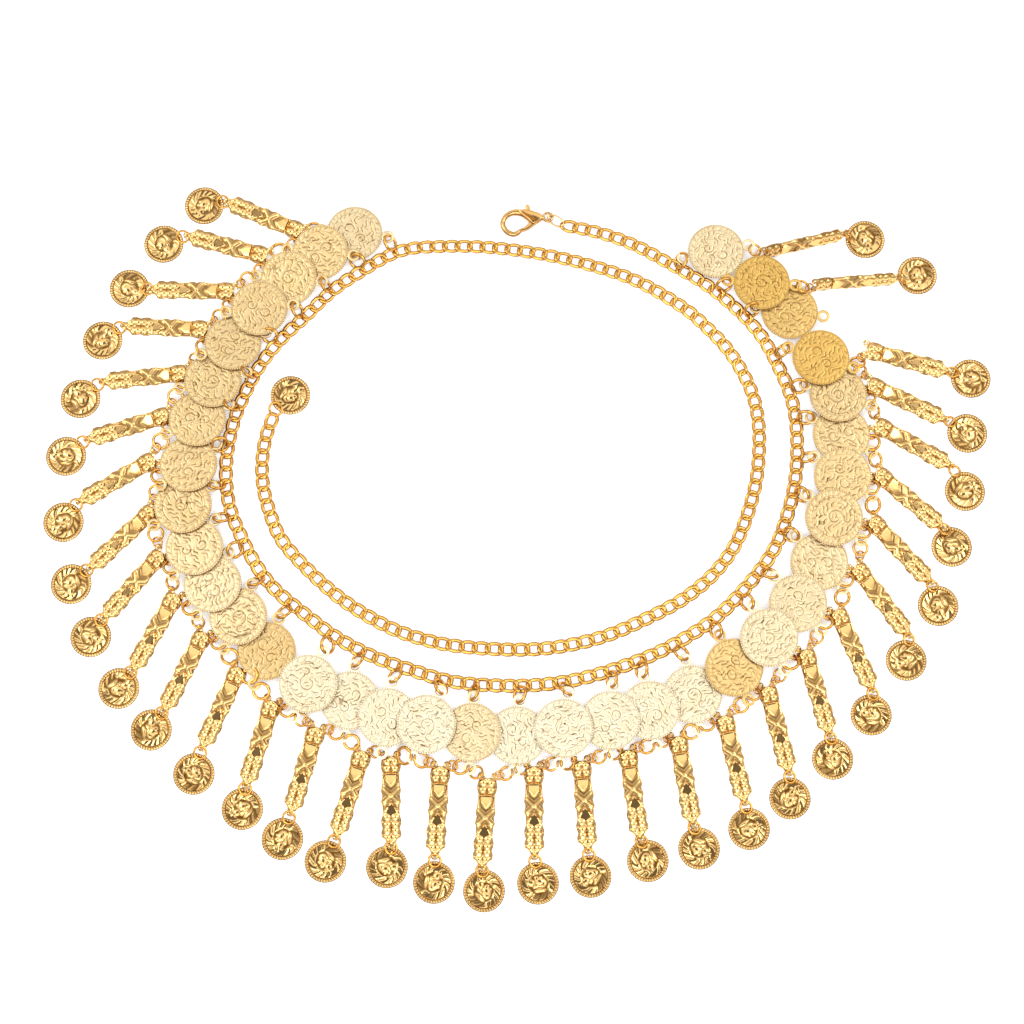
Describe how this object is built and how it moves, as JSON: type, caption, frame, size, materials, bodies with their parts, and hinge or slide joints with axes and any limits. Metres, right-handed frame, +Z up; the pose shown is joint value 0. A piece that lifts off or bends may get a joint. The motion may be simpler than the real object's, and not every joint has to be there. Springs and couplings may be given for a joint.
{
  "type": "coin waist chain",
  "caption": "Coin waist chain laid flat: a curb chain edged with overlapping coins and a fringe of embossed bars and small coins, closed by a lobster clasp.",
  "frame": {"origin": "middle of the laid-out chain's box, on the surface it lies on", "axes": "+X to the right along the longer way of the spiral, +Y to the side where the clasp is, +Z up from the surface"},
  "size_m": [0.362, 0.2796, 0.0073],
  "materials": {
    "pale_gold": "bright pale gold plating on stamped coins",
    "warm_gold": "bright warm gold plating on embossed bars",
    "orange_gold": "polished orange gold plating on chain wire",
    "clasp_gold": "polished gold plating on the cast clasp",
    "end_coin_gold": "gold plating with darker recesses"
  },
  "bodies": {
    "belt": {"big_coin_01": "pale_gold", "big_coin_02": "pale_gold", "big_coin_03": "pale_gold", "big_coin_04": "pale_gold", "big_coin_05": "pale_gold", "big_coin_06": "pale_gold", "big_coin_07": "pale_gold", "big_coin_08": "pale_gold", "big_coin_09": "pale_gold", "big_coin_10": "pale_gold", "big_coin_11": "pale_gold", "big_coin_12": "pale_gold", "big_coin_13": "pale_gold", "big_coin_14": "pale_gold", "big_coin_15": "pale_gold", "big_coin_16": "pale_gold", "big_coin_17": "pale_gold", "big_coin_18": "pale_gold", "big_coin_19": "pale_gold", "big_coin_20": "pale_gold", "big_coin_21": "pale_gold", "big_coin_22": "pale_gold", "big_coin_23": "pale_gold", "big_coin_24": "pale_gold", "big_coin_25": "pale_gold", "big_coin_26": "pale_gold", "big_coin_27": "pale_gold", "big_coin_28": "pale_gold", "big_coin_29": "pale_gold", "big_coin_30": "pale_gold", "big_coin_31": "pale_gold", "big_coin_32": "pale_gold", "big_coin_33": "pale_gold", "big_coin_34": "pale_gold", "big_coin_35": "pale_gold", "chain_inner_left": "orange_gold", "chain_inner_right": "orange_gold", "chain_outer_left": "orange_gold", "chain_outer_right": "orange_gold", "clasp_body": "clasp_gold", "end_coin": "end_coin_gold", "fringe_01_02": "warm_gold", "fringe_03_04": "warm_gold", "fringe_05_06": "warm_gold", "fringe_07_08": "warm_gold", "fringe_09_10": "warm_gold", "fringe_11_12": "warm_gold", "fringe_13_14": "warm_gold", "fringe_15_16": "warm_gold", "fringe_17_18": "warm_gold", "fringe_19_20": "warm_gold", "fringe_21_22": "warm_gold", "fringe_23_24": "warm_gold", "fringe_25_26": "warm_gold", "fringe_27_28": "warm_gold", "fringe_29_30": "warm_gold", "fringe_31_32": "warm_gold", "fringe_33": "warm_gold", "fringe_34": "warm_gold"},
    "trigger": {"clasp_trigger": "clasp_gold"}
  },
  "joints": [
    {"name": "trigger_hinge", "type": "hinge", "parent": "belt", "child": "trigger", "pos_m": [0.00538, 0.12644, 0.00125], "axis": [0, 0, -1], "range_deg": [0, 22], "stiffness_Nm_per_rad": 0.0002}
  ]
}
